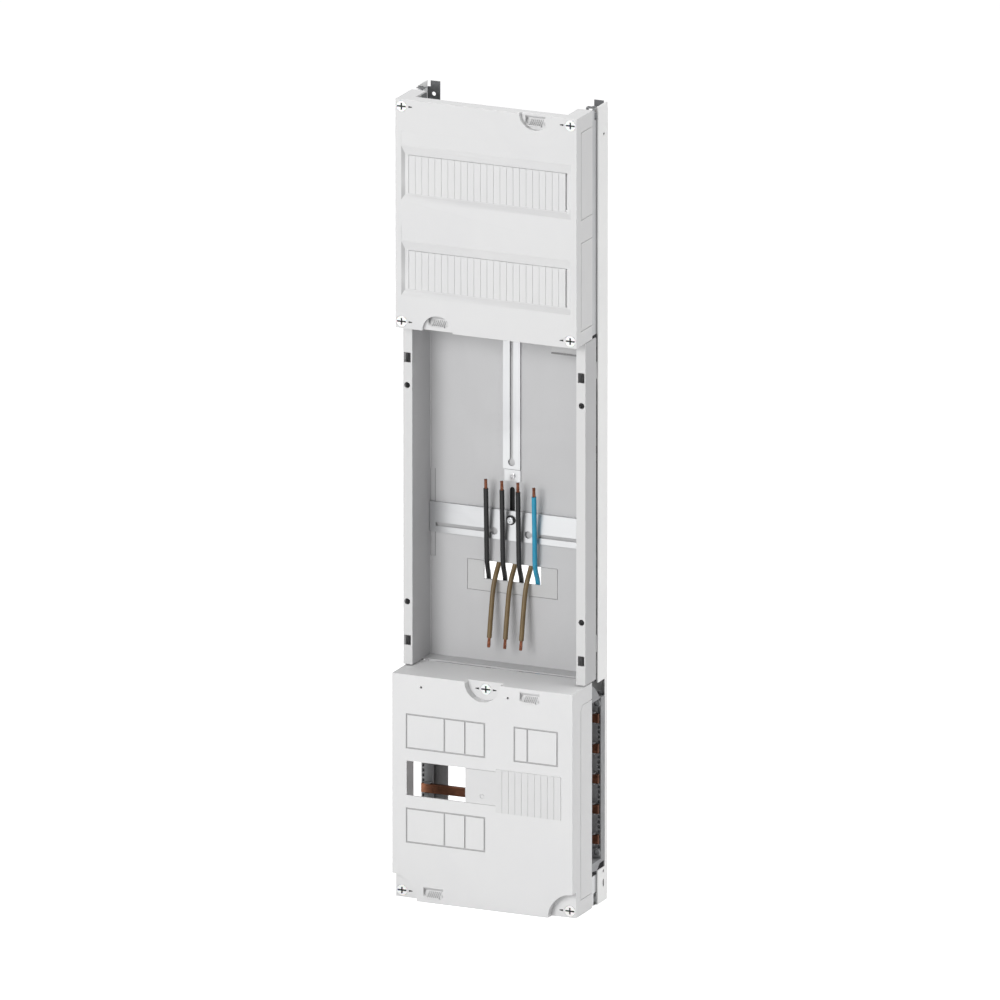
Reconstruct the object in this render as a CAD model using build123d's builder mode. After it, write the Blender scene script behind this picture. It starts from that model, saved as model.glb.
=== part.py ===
from build123d import *
import os
from math import pi, radians, tan

os.makedirs("parts", exist_ok=True)

# Meter panel field for an industrial switchboard cabinet.
# X is to the right, Y runs from the front to the back and Z is up, in millimetres.
# Depths are counted from the face of the upper cover, then moved so that the field's
# box is centred on Y = 0. Heights are counted from the bottom edge of the field.

# ---- overall sizes -------------------------------------------------------------------
field_width = 250.0          # one field, over the side rails and the covers
field_height = 1050.0        # seven grid units of 150 mm
meter_bottom = 300.0         # the meter bay starts here
meter_top = 750.0            # and ends here, where the upper cover starts
half = field_width / 2
device_pitch = 125.0         # between the two rows of modular devices
module = 18.0                # one modular device
groove_pitch = module / 2    # grooves on the blanking strips
busbar_pitch = 40.0
gap = 0.3                    # clearance between pieces that come apart
fit_gap = 0.05               # radial clearance of a screw in its nut

# ---- covers --------------------------------------------------------------------------
cover_wall = 2.5
cover_rear = 50.0            # depth of the covers' rear edges
lower_front = -12.0          # the lower cover stands this far forward
lower_top = meter_bottom - 1.5
top_wall_rear = 58.0         # the lower cover's top wall reaches further back
ledge_width = 20.0           # side ledges of the open top and bottom walls
lip_depth = 18.0             # front lip of the open top and bottom walls

window_recess = 6.0          # depth of the frame around a device window
window_half = 12 * module / 2 + 1.4
window_height = 50.6
recess_half = half - 8.0     # half width of the window frame at the cover's face
recess_floor_half = recess_half - 2.7
recess_floor_height = 53.4
recess_up = 37.5             # the frame's upper edge above the row's centre line
recess_down = 33.6
upper_row = field_height - 98.0   # height of the upper device row
label_height = 19.0
label_drop = 0.3

thumb_radius = 21.0
thumb_x = 67.0
thumb_depth = 6.0

grip_width = 27.0            # finger pit of a pull grip
grip_height = 12.0
grip_pit = 7.0
grip_proud = 2.5
grip_lip = 1.6
grip_shelf = 19.0            # width of the lip
grip_rise = 5.4              # the shelf rises this much to the back
rib_pitch = 2.6
rib_width = 1.3
rib_height = 0.9

# ---- quarter-turn screws -------------------------------------------------------------
screw_head = 14.4
screw_head_depth = 2.9
screw_proud = 0.4
cross_depth = 2.0            # floor of the screw's cross slot
screw_shaft = 6.0
screw_x = half - 8.5         # from the middle of the cover
screw_edge = 9.0             # from the cover's top or bottom edge
boss_radius = 8.5
sleeve_radius = 4.8
wing_length = 10.0
wing_width = 4.0
wing_thick = 2.0
wing_depth = 52.9            # front of the wing
keeper_front = 51.0          # front of the plates the wings turn behind
keeper_thick = 1.2

# ---- side rails ----------------------------------------------------------------------
rail_wall = 1.25
rail_front = 68.0
rail_rear = 98.4
front_flange = 8.0
rear_flange = 17.0
rear_flange_in = 1.5         # the rear flange's outer edge is set in from the web
slot_height = 10.5
fixing_x = half - 10.0       # rear fixing holes from the middle
fixing_edge = 17.0           # rear fixing holes from the rail's ends
fixing_hole = 5.5

# ---- meter board ---------------------------------------------------------------------
board_width = field_width + 2.0
board_front = 26.0
board_side_rear = 59.6
board_wall = 2.0
column_width = 12.5
panel_front = 83.0
panel_thick = 2.0
floor_front = 60.0
column_inner = board_width / 2 - column_width
hook_hole = (9.0, 13.0)      # square holes in the columns
hook_holes = (meter_top - 45.5, meter_bottom + 32.2)
hook_hole_in = 5.8           # from the board's outer side
round_hole = 8.0
round_holes = (meter_top - 82.0, meter_bottom + 83.0)
round_hole_in = 5.4
tab_heights = (meter_top - 45.0, meter_bottom + 45.0)
tray_fillet = 1.5

# ---- meter cross ---------------------------------------------------------------------
rail_face = 78.5             # front of the height-adjustable cross rail
rail_height = 39.4
rail_low = meter_bottom + 163.1   # lower edge of the cross rail
rail_thick = 1.5
cross_slot = 4.8
keyhole = 9.8
keyhole_x = 23.5
clamp_up = 27.4              # clamp screw above the cross rail's lower edge
clamp_slot = 7.0
nut_gap = 0.3
nut_thick = 2.2
travel_up = 38.0
travel_down = 20.0
strip_face = 80.0
strip_width = 23.6
strip_end = meter_bottom + 257.0

# ---- cable window --------------------------------------------------------------------
entry_width = 124.0
entry_gap = 0.6
entry_low = meter_bottom + 92.0
entry_high = meter_bottom + 131.3
notch_width = 79.0
notch_low = meter_bottom + 107.6

# ---- leads ---------------------------------------------------------------------------
lead_dia = 6.2
core_dia = 4.2
bare_end = 12.5
lead_pitch = 22.2
bend_share = 0.45            # share of the shorter run that an arc takes

# ---- busbars -------------------------------------------------------------------------
bar_height = 12.0
bar_thick = 5.0
bar_front = 73.5
bar_low = 84.0               # centre of the lowest bar
bar_half = half - 2.2
support_width = 16.5
support_front = 50.8
support_rear = 90.0

upper_top = field_height
rows = [upper_row, upper_row - device_pitch]
bars = [bar_low + busbar_pitch * i for i in range(5)]
front_most = lower_front - grip_proud
datum = -(front_most + rail_rear) / 2
sides = [("left", -1), ("right", 1)]


def face(y):
    """Sketch plane at depth y: X to the right, Z up, looking at the front."""
    return Plane(origin=(0, y + datum, 0), x_dir=(1, 0, 0), z_dir=(0, -1, 0))


def side(x):
    """Sketch plane across the field at x: depth to the right, Z up."""
    return Plane(origin=(x, datum, 0), x_dir=(0, 1, 0), z_dir=(1, 0, 0))


def level(z):
    """Sketch plane at height z: X to the right, depth up the sketch."""
    return Plane(origin=(0, datum, z), x_dir=(1, 0, 0), z_dir=(0, 0, 1))


def block(x, y, z, mode=Mode.ADD):
    """A box between pairs of limits along X, depth and Z."""
    middle = ((x[0] + x[1]) / 2, (y[0] + y[1]) / 2 + datum, (z[0] + z[1]) / 2)
    with Locations(middle):
        Box(x[1] - x[0], y[1] - y[0], z[1] - z[0], mode=mode)


def disc(x, z, y, radius, mode=Mode.ADD):
    """A round bar along Y between two depths."""
    with BuildSketch(face(y[1])) as outline:
        with Locations((x, z)):
            Circle(radius)
    extrude(outline.sketch, amount=y[1] - y[0], mode=mode)


def pair(low, high, s):
    """The limits low to high on the right, or their mirror image on the left."""
    return (low, high) if s > 0 else (-high, -low)


def save(builder, name):
    builder.part.label = name
    export_step(builder.part, f"parts/{name}.step")


# ---- side rails ----------------------------------------------------------------------
support_top = [(89.5, bars[-1] + 27.0), (76.0, bars[-1] + 27.5), (63.0, bars[-1] + 41.0),
               (55.0, bars[-1] + 47.0), (support_front, bars[-1] + 49.0)]
support_screws = (bars[-1] + 19.2, bars[0] - 17.8)
support_screw_x = half - 6.2
support_foot = [(support_front, 47.5), (67.0, 45.5), (74.3, 52.8), (89.5, 54.0)]


def side_rail(s):
    with BuildPart() as rail:
        block(pair(half - rail_wall, half, s), (rail_front, rail_rear), (0, field_height))
        block(pair(half - front_flange, half, s), (rail_front, rail_front + rail_wall),
              (0, field_height))
        outer = half - rear_flange_in
        block(pair(outer - rear_flange, half, s), (rail_rear - rail_wall, rail_rear),
              (0, field_height))
        # the web and the front flange stop where the busbar support stands
        block(pair(half - front_flange - 1, half + 1, s), (rail_front - 1, support_rear + gap),
              (support_foot[0][1] - 2.0 - gap, support_top[-1][1] + gap), Mode.SUBTRACT)
        # pairs of slots on the grid of the field
        for k in range(1, 7):
            for dz in (-10, 10):
                z = 150 * k + dz
                block(pair(half - 7.0, half - 2.0, s), (rail_front - 1, rail_front + 2),
                      (z - slot_height / 2, z + slot_height / 2), Mode.SUBTRACT)
        # rear fixing holes and the notches at the outer corners
        for z in (fixing_edge, field_height - fixing_edge):
            disc(s * fixing_x, z, (rail_rear - 3, rail_rear + 1), fixing_hole / 2, Mode.SUBTRACT)
        for z in ((-1, 8), (field_height - 8, field_height + 1)):
            block(pair(half - 5.5, half + 1, s), (rail_rear - rail_wall, rail_rear + 1), z,
                  Mode.SUBTRACT)
        # round holes and a slot in the web
        with BuildSketch(side(s * half - 3)):
            with Locations((86, field_height - 40), (86, 40)):
                Circle(2.3)
            with Locations((86, 24)):
                SlotOverall(slot_height, 4.2, rotation=90)
        extrude(amount=6, mode=Mode.SUBTRACT)
    return rail


for name, s in sides:
    save(side_rail(s), f"{name}_side_rail")

# Spring clips at the ends of the rails hold the field in the cabinet.
clip_depth = 60.5            # the clips keep behind this depth
clip_length = 15.0
clip_foot = field_height - clip_length - 1.0


def rail_clips(low, top):
    """A hook on each rail: a plate on the front flange, a tongue and a turned-up tip."""
    up = 1 if top else -1
    with BuildPart() as clips:
        for _, s in sides:
            end = low + up * clip_length
            block(pair(half - front_flange + 0.4, half - 1.6, s), (rail_front - 1.2, rail_front),
                  sorted((low, end)))
            block(pair(half - 14.0, half - 1.6, s), (clip_depth + 0.5, rail_front),
                  sorted((end - up * 1.2, end)))
            block(pair(half - 14.0, half - 12.8, s), (clip_depth + 0.5, rail_front),
                  sorted((end - up * 5.0, end)))
            disc(s * (half - 4.8), low + up * 6, (rail_front - 3.0, rail_front - 1.2), 2.4)
    return clips


save(rail_clips(field_height - clip_length - 0.5, True), "top_rail_clips")
save(rail_clips(clip_length + 0.5, False), "bottom_rail_clips")

# ---- crossbars -----------------------------------------------------------------------
bar_rear = rail_rear - rail_wall
bar_wall = 1.5
crossbars = {
    "lower_crossbar": (meter_bottom - 46.0, meter_bottom - 12.0),
    "upper_crossbar": (meter_top + 12.0, meter_top + 44.0),
}
bar_screw_x = half - 10.0

for name, (low, high) in crossbars.items():
    with BuildPart() as crossbar:
        block((-half + 4, half - 4), (bar_rear - bar_wall, bar_rear), (low, high))
        for x in range(-80, 81, 40):
            with BuildSketch(face(bar_rear + 1)):
                with Locations((x, (low + high) / 2)):
                    SlotOverall(16, 5.2)
            extrude(amount=4, mode=Mode.SUBTRACT)
    save(crossbar, name)

with BuildPart() as crossbar_screws:
    for low, high in crossbars.values():
        for _, s in sides:
            z = (low + high) / 2
            y = bar_rear - bar_wall
            disc(s * bar_screw_x, z, (y - 2.4, y), 4.2)
            block((s * bar_screw_x - 3, s * bar_screw_x + 3), (y - 2.6, y - 1.4),
                  (z - 0.5, z + 0.5), Mode.SUBTRACT)
            block((s * bar_screw_x - 0.5, s * bar_screw_x + 0.5), (y - 2.6, y - 1.4),
                  (z - 3, z + 3), Mode.SUBTRACT)
save(crossbar_screws, "crossbar_screws")

# ---- device section: supports, brackets and DIN rails ----------------------------------
keeper_rear = keeper_front + keeper_thick
support_low = meter_top + 3
support_high = field_height - 3


def keeper_slot(x, z):
    """Opening that a quarter-turn screw passes: a hole with a slot for its wings."""
    with BuildSketch(face(keeper_rear + 2)) as opening:
        with Locations((x, z)):
            Circle(screw_shaft / 2 + 0.6)
            Rectangle(wing_length + 1.0, wing_width + 1.0)
    extrude(opening.sketch, amount=keeper_thick + 4, mode=Mode.SUBTRACT)


def device_support(s):
    with BuildPart() as support:
        block(pair(half - 21, half - 2, s), (keeper_front, keeper_rear), (support_low, support_high))
        block(pair(half - 3.2, half - 2, s), (keeper_front, clip_depth), (support_low, support_high))
        block(pair(half - 3.2, half - 2, s), (keeper_front, rail_front), (support_low, clip_foot))
        block(pair(half - 7, half - 2, s), (rail_front - 1.2, rail_front), (support_low, clip_foot))
        for z in (meter_top + screw_edge, field_height - screw_edge):
            keeper_slot(s * screw_x, z)
        # perforation of the front flange
        for i in range(9):
            z = support_low + 37 + i * 27.0
            with BuildSketch(face(keeper_rear + 1)):
                with Locations((s * (half - 15), z)):
                    SlotOverall(9, 4.2, rotation=90)
            extrude(amount=4, mode=Mode.SUBTRACT)
    return support


for name, s in sides:
    save(device_support(s), f"{name}_device_support")

din_face = 54.0
din_depth = 7.5
din_wall = 1.0

for name, z in zip(("upper_din_rail", "lower_din_rail"), rows):
    with BuildPart() as din_rail:
        # top-hat section, 35 mm over the flanges
        span = (-(half - 16), half - 16)
        block(span, (din_face + din_depth - din_wall, din_face + din_depth), (z - 13.5, z + 13.5))
        for s in (-1, 1):
            block(span, (din_face, din_face + din_depth), sorted((z + s * 12.5, z + s * 13.5)))
            block(span, (din_face, din_face + din_wall), sorted((z + s * 12.5, z + s * 17.5)))
        for i in range(8):
            with BuildSketch(face(din_face + din_depth + 1)):
                with Locations((-98 + i * 28, z)):
                    SlotOverall(15, 6.2)
            extrude(amount=4, mode=Mode.SUBTRACT)
    save(din_rail, name)

with BuildPart() as din_brackets:
    for z in rows:
        for _, s in sides:
            y = din_face + din_depth
            block(pair(half - 22, half - 3.2, s), (y, y + 2), (z - 15, z + 15))
            block(pair(half - 5.2, half - 3.2, s), (keeper_rear + 2, y + 2), (z - 22, z + 22))
save(din_brackets, "din_rail_brackets")

# ---- meter board ---------------------------------------------------------------------
board_half = board_width / 2
board_low = meter_bottom + gap
board_high = meter_top - gap
panel_rear = panel_front + panel_thick
clamp_z = rail_low + clamp_up
guide = (rail_low - travel_down - 13, rail_low + rail_height + travel_up + 5)
guide_width = 7.0
guide_depth = 1.0
lug_screw_z = lower_top - 10.5

with BuildPart() as meter_board:
    # a column each side: outer wall, front face and the inner wall down to the panel
    for _, s in sides:
        block(pair(board_half - board_wall, board_half, s), (board_front, board_side_rear),
              (board_low, board_high))
        block(pair(column_inner, board_half, s), (board_front, board_front + board_wall),
              (board_low, board_high))
        block(pair(column_inner, column_inner + board_wall, s), (board_front, panel_rear),
              (board_low, board_high))
    block((-column_inner - 1, column_inner + 1), (panel_front, panel_rear), (board_low, board_high))
    for z in ((board_low - 2.0, board_low), (board_high - board_wall, board_high)):
        block((-column_inner - 1, column_inner + 1), (floor_front, panel_rear), z)
    # coves where the inner walls meet the panel
    for _, s in sides:
        with BuildSketch(level(board_low)):
            with BuildLine():
                corner = (s * column_inner, panel_front)
                start = (s * column_inner, panel_front - tray_fillet)
                end = (s * (column_inner - tray_fillet), panel_front)
                Line(corner, start)
                Line(corner, end)
                RadiusArc(start, end, tray_fillet if s > 0 else -tray_fillet)
            make_face()
        extrude(amount=board_high - board_low)
    # lug under the floor for the lower cover's middle screw
    lug_web = (lug_screw_z + 5.8, lug_screw_z + 7.2)
    block((-13, 13), (floor_front, floor_front + 2), (lug_web[0], board_low))
    block((-13, 13), (keeper_front, floor_front + 2), lug_web)
    block((-13, 13), (keeper_front, keeper_rear), (lug_screw_z - 10, lug_web[1]))
    keeper_slot(0, lug_screw_z)
    # holes in the columns, behind which accessories hook in
    for _, s in sides:
        for z in hook_holes:
            with BuildSketch(face(board_front + board_wall + 1)):
                with Locations((s * (board_half - hook_hole_in), z)):
                    Rectangle(*hook_hole)
            extrude(amount=4, mode=Mode.SUBTRACT)
        for z in round_holes:
            disc(s * (board_half - round_hole_in), z, (board_front - 1, board_front + board_wall + 1),
                 round_hole / 2, Mode.SUBTRACT)
    # guide grooves for the ends of the cross rail, cut through the coves
    for _, s in sides:
        block(pair(column_inner - guide_width, column_inner, s),
              (panel_front - tray_fillet - 1, panel_front + guide_depth), guide, Mode.SUBTRACT)
    # slot of the clamp screw, with the channel for its nut behind the panel
    slot_low = clamp_z - travel_down - clamp_slot / 2 - 1
    slot_high = clamp_z + travel_up + clamp_slot / 2 + 1
    channel = nut_gap + nut_thick + 0.2
    block((-9.0, 9.0), (panel_rear, panel_rear + channel + 0.8), (slot_low - 6, slot_high + 8))
    block((-7.6, 7.6), (panel_rear, panel_rear + channel), (slot_low - 7, slot_high + 6), Mode.SUBTRACT)
    with BuildSketch(face(panel_rear + 1)):
        with Locations((0, (slot_low + slot_high) / 2)):
            SlotOverall(slot_high - slot_low, clamp_slot, rotation=90)
    extrude(amount=panel_thick + 3, mode=Mode.SUBTRACT)
    # opening for the cable entry plate
    block((-entry_width / 2 - entry_gap, entry_width / 2 + entry_gap), (panel_front - 1, panel_rear + 1),
          (entry_low - entry_gap, entry_high + entry_gap), Mode.SUBTRACT)
    # tick marks beside the upper part of the meter cross
    for i in range(13):
        z = meter_bottom + 286.0 + i * 10
        block((-19.5, -15.5 - (2 if i % 5 else 0)), (panel_front - 1, panel_front + 0.4),
              (z - 0.4, z + 0.4), Mode.SUBTRACT)
    # tabs that rest on the side rails' front flanges
    for _, s in sides:
        for z in tab_heights:
            block(pair(column_inner + board_wall, half - 1.5, s), (rail_front - 2, rail_front),
                  (z - 11, z + 11))
save(meter_board, "meter_board")

with BuildPart() as board_screws:
    for _, s in sides:
        for z in tab_heights:
            disc(s * (half - 5.0), z, (rail_front - 4.2, rail_front - 2), 3.4)
            block((s * (half - 5.0) - 2.4, s * (half - 5.0) + 2.4), (rail_front - 4.4, rail_front - 3.2),
                  (z - 0.5, z + 0.5), Mode.SUBTRACT)
save(board_screws, "board_screws")

with BuildPart() as cable_entry_plate:
    block((-entry_width / 2, entry_width / 2), (panel_front, panel_rear), (entry_low, entry_high))
    block((-notch_width / 2, notch_width / 2), (panel_front - 1, panel_rear + 1),
          (notch_low, entry_high + 1), Mode.SUBTRACT)
    # rim behind the board, open above
    for _, s in sides:
        block(pair(entry_width / 2 - 5, entry_width / 2 + 4, s), (panel_rear, panel_rear + 1.2),
              (entry_low - 4, entry_high))
    block((-entry_width / 2, entry_width / 2), (panel_rear, panel_rear + 1.2),
          (entry_low - 4, entry_low + 5))
save(cable_entry_plate, "cable_entry_plate")

with BuildPart() as label_holder:
    span = (column_inner - 48.5, column_inner - 1.5)
    block(span, (floor_front - 1.6, floor_front), (meter_top - 27.5, board_high))
    block(span, (floor_front - 3.2, floor_front - 1.6), (meter_top - 27.5, meter_top - 25.7))
save(label_holder, "label_holder")

# ---- meter cross ---------------------------------------------------------------------
strip_top = board_high - board_wall - 2.0

with BuildPart() as meter_strip:
    block((-strip_width / 2, strip_width / 2), (strip_face, strip_face + rail_thick),
          (strip_end, strip_top))
    for _, s in sides:
        block(pair(strip_width / 2 - rail_thick, strip_width / 2, s), (strip_face, panel_front),
              (strip_end, strip_top))
    slot_start = strip_end + 9.2
    block((-cross_slot / 2, cross_slot / 2), (strip_face - 1, strip_face + 2),
          (slot_start, strip_top - 12), Mode.SUBTRACT)
    disc(0, slot_start, (strip_face - 1, strip_face + 2), keyhole / 2, Mode.SUBTRACT)
save(meter_strip, "meter_strip")

holder_screw_z = strip_end - 9.3

with BuildPart() as strip_holder:
    block((-10.4, strip_width / 2), (panel_front - 1.6, panel_front), (strip_end - 16.0, strip_end - 1.0))
save(strip_holder, "strip_holder")

with BuildPart() as strip_holder_screw:
    disc(1.0, holder_screw_z, (panel_front - 3.8, panel_front - 1.6), 3.4)
    block((-1.4, 3.4), (panel_front - 4.0, panel_front - 2.8), (holder_screw_z - 0.5, holder_screw_z + 0.5),
          Mode.SUBTRACT)
    block((0.5, 1.5), (panel_front - 4.0, panel_front - 2.8), (holder_screw_z - 2.4, holder_screw_z + 2.4),
          Mode.SUBTRACT)
save(strip_holder_screw, "strip_holder_screw")

rail_half = column_inner - 0.5
rail_high = rail_low + rail_height
cross_z = rail_low + 10.4

with BuildPart() as meter_rail:
    block((-rail_half, rail_half), (rail_face, rail_face + rail_thick), (rail_low, rail_high))
    for z in ((rail_low, rail_low + rail_thick), (rail_high - rail_thick, rail_high)):
        block((-rail_half, rail_half), (rail_face, panel_front - gap), z)
    # ends that run in the board's guide grooves
    for _, s in sides:
        block(pair(rail_half - 5.5, rail_half, s), (rail_face, panel_front + guide_depth - gap),
              (rail_low, rail_high))
        block(pair(keyhole_x, rail_half - 8.6, s), (rail_face - 1, rail_face + 2),
              (cross_z - cross_slot / 2, cross_z + cross_slot / 2), Mode.SUBTRACT)
        disc(s * keyhole_x, cross_z, (rail_face - 1, rail_face + 2), keyhole / 2, Mode.SUBTRACT)
    disc(0, clamp_z, (rail_face - 1, rail_face + 2), 3.2, Mode.SUBTRACT)
save(meter_rail, "meter_rail")

washer_thick = 1.2
clamp_shaft = 5.0

with BuildPart() as rail_clamp_washer:
    disc(0, clamp_z, (rail_face - washer_thick, rail_face), 6.3)
    disc(0, clamp_z, (rail_face - washer_thick - 1, rail_face + 1), clamp_shaft / 2 + 0.2, Mode.SUBTRACT)
save(rail_clamp_washer, "rail_clamp_washer")

nut_front = panel_rear + nut_gap

with BuildPart() as rail_clamp_nut:
    block((-7.2, 7.2), (nut_front, nut_front + nut_thick), (clamp_z - 5, clamp_z + 5))
    disc(0, clamp_z, (nut_front - 1, nut_front + nut_thick + 1), clamp_shaft / 2 + fit_gap, Mode.SUBTRACT)
save(rail_clamp_nut, "rail_clamp_nut")

head_front = rail_face - washer_thick - gap - 2.6

with BuildPart() as rail_clamp_screw:
    disc(0, clamp_z, (head_front, rail_face - washer_thick - gap), 4.6)
    disc(0, clamp_z, (head_front, nut_front + nut_thick), clamp_shaft / 2)
    edges = rail_clamp_screw.edges().filter_by(GeomType.CIRCLE).sort_by(Axis.Y)
    fillet(edges[0], radius=0.8)
    for w, h in ((5.2, 1.0), (1.0, 5.2)):
        block((-w / 2, w / 2), (head_front - 0.2, head_front + 1.5), (clamp_z - h / 2, clamp_z + h / 2),
              Mode.SUBTRACT)
save(rail_clamp_screw, "rail_clamp_screw")

# ---- busbars and their supports --------------------------------------------------------


def busbar_support(s):
    inner = half - support_width
    outer = half - gap
    seat = bar_front + bar_thick + 0.15
    with BuildPart() as support:
        with BuildSketch(side(inner if s > 0 else -outer)):
            with BuildLine():
                Polyline(*support_foot, (support_rear, 56.0), (support_rear, bars[-1] + 25.0),
                         *support_top, support_foot[0])
            make_face()
        extrude(amount=outer - inner)
        # rear flange that reaches inwards
        block(pair(inner - 16.5, inner + 1, s), (support_rear - 2.5, support_rear),
              (60, bars[-1] + 21))
        # between the ends the support stays behind the bars
        block(pair(inner - 1, outer + 1, s), (support_front - 1, seat),
              (bars[0] - 10.0, bars[-1] + 10.0), Mode.SUBTRACT)
        # the ends are open in front of their screws
        for low, high in ((bars[0] - 26.0, bars[0] - 9.0), (bars[-1] + 9.0, bars[-1] + 27.0)):
            block(pair(inner + 4.0, outer + 1, s), (support_front - 1, seat), (low, high),
                  Mode.SUBTRACT)
        # a groove beside the outer edge, crossed by teeth
        block(pair(outer - 4.6, outer - 1.4, s), (seat - 1, seat + 4.0), (66, bars[-1] + 16),
              Mode.SUBTRACT)
        for i in range(int((bars[-1] - 56) / 6.6)):
            z = 70.0 + i * 6.6
            block(pair(outer - 5.0, outer - 1.0, s), (seat, seat + 4.5), (z - 1.2, z + 1.2))
        # hollow between the front and the rear flange
        block(pair(inner - 1, inner + 5.0, s), (seat + 3.0, support_rear - 2.5),
              (64, bars[-1] + 17), Mode.SUBTRACT)
        # noses that hold each bar from above and below
        for z in bars:
            for t in (-1, 1):
                edge = z + t * (bar_height / 2 + 0.15)
                block(pair(inner + 2.0, outer - 7.0, s), (bar_front - 1.2, seat + 1),
                      sorted((edge, edge + t * 1.6)))
        # screw seats that face the front
        for z in support_screws:
            disc(s * support_screw_x, z, (seat - 3.5, seat + 1), 5.5)
            disc(s * support_screw_x, z, (seat - 4.5, seat + 2.0), 3.4, Mode.SUBTRACT)
    return support


for name, s in sides:
    save(busbar_support(s), f"{name}_busbar_support")

with BuildPart() as busbar_support_screws:
    head_low = bar_front + bar_thick + 0.15
    for _, s in sides:
        for z in support_screws:
            disc(s * support_screw_x, z, (head_low - 0.2, head_low + 2.0), 3.1)
            disc(s * support_screw_x, z, (head_low - 1.0, head_low + 1.0), 1.5, Mode.SUBTRACT)
save(busbar_support_screws, "busbar_support_screws")

for i, z in enumerate(bars):
    with BuildPart() as busbar:
        block((-bar_half, bar_half), (bar_front, bar_front + bar_thick),
              (z - bar_height / 2, z + bar_height / 2))
        fillet(busbar.edges().filter_by(Axis.X), radius=0.6)
    save(busbar, f"busbar_{i + 1}")


def cover_bracket(s):
    """Angle at a rail's foot: the plate a quarter-turn screw turns behind, and its arm."""
    with BuildPart() as bracket:
        block(pair(half - 21, half - 2, s), (keeper_front, keeper_rear), (1.5, 19.0))
        block(pair(half - 3.2, half - 2, s), (keeper_front, rail_front), (17.0, 40.0))
        block(pair(half - 3.2, half - 2, s), (keeper_front, keeper_front + 8), (1.5, 40.0))
        block(pair(half - 7.0, half - 2, s), (rail_front - 1.2, rail_front), (17.0, 40.0))
        keeper_slot(s * screw_x, screw_edge)
    return bracket


for name, s in sides:
    save(cover_bracket(s), f"{name}_cover_bracket")

# ---- covers --------------------------------------------------------------------------


def pull_grip(x, z, y):
    """Finger scoop: a ribbed shelf that rises to the back, and a proud lip along its front."""
    wide = grip_width / 2
    block((x - wide - 2, x + wide + 2), (y + 0.4, y + grip_pit + 2), (z - 2, z + grip_height + 1.5))
    block((x - grip_shelf / 2, x + grip_shelf / 2), (y - grip_proud, y + 1), (z - grip_lip, z))
    with BuildSketch(side(x - wide)) as scoop:
        with BuildLine():
            Polyline((y - 1, z), (y, z), (y + grip_pit, z + grip_rise),
                     (y + grip_pit, z + grip_rise + 1.8), (y + grip_pit * 0.45, z + 9.6),
                     (y, z + grip_height), (y - 1, z + grip_height),
                     (y - 1, z))
        make_face()
    extrude(scoop.sketch, amount=grip_width, mode=Mode.SUBTRACT)
    # rounded ends of the scoop
    for s in (-1, 1):
        with BuildSketch(face(y + grip_pit)) as corner:
            with BuildLine():
                edge = x + s * wide
                Polyline((edge, z), (edge - s * 4.0, z), (edge, z + 4.0), (edge, z))
            make_face()
        extrude(corner.sketch, amount=grip_pit - 0.4)
    # ribs along the depth, on the shelf
    for i in range(7):
        rib = x + (i - 3) * rib_pitch
        with BuildSketch(side(rib - rib_width / 2)) as ridge:
            with BuildLine():
                back = y + grip_pit
                Polyline((y - grip_proud, z - 0.5), (y - grip_proud, z + 0.3), (y, z + rib_height),
                         (back, z + grip_rise + rib_height), (back, z + grip_rise - 0.5),
                         (y, z - 0.5), (y - grip_proud, z - 0.5))
            make_face()
        extrude(ridge.sketch, amount=rib_width)


def screw_boss(x, z, y):
    """Seat for a quarter-turn screw, with the sleeve that guides its shaft."""
    disc(x, z, (y + 0.5, y + screw_head_depth + 4), boss_radius)
    disc(x, z, (y + 1.0, keeper_front - 2.0), sleeve_radius)
    disc(x, z, (y - 1, y + screw_head_depth), screw_head / 2 + 0.2, Mode.SUBTRACT)
    disc(x, z, (y - 1, keeper_front), screw_shaft / 2 + gap, Mode.SUBTRACT)


def slot_mark(x, z, y, toward):
    """Tapered mark beside a screw; it narrows away from the screw."""
    with BuildSketch(face(y + 0.8)) as mark:
        with BuildLine():
            Polyline((x, z + 1.3), (x + toward * 5.0, z + 0.5), (x + toward * 5.0, z - 0.5),
                     (x, z - 1.3), (x, z + 1.3))
        make_face()
    extrude(mark.sketch, amount=1.2, mode=Mode.SUBTRACT)


def shell(front, low, high):
    """A cover open at the rear, with its front plate at depth front."""
    w = cover_wall
    block((-half, half), (front, cover_rear), (low, high))
    block((-half + w, half - w), (front + w, cover_rear + 1), (low + w, high - w), Mode.SUBTRACT)


def pocket(x, z, front, floor, radius, low, high):
    """Round pocket cut in from an edge of a cover, with its own wall behind."""
    with BuildSketch(face(floor + cover_wall)) as wall:
        with Locations((x, z)):
            Circle(radius + cover_wall)
        with Locations((0, (low + high) / 2)):
            Rectangle(field_width, high - low, mode=Mode.INTERSECT)
    extrude(wall.sketch, amount=floor + cover_wall - front - 0.5)
    disc(x, z, (front - 1, floor), radius, Mode.SUBTRACT)


def open_flange(z, s):
    """Cut the top or bottom wall back to a front lip and two side ledges."""
    block((-half + ledge_width, half - ledge_width), (lip_depth, cover_rear + 1),
          sorted((z - s * (cover_wall + 0.5), z + s)), Mode.SUBTRACT)


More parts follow.
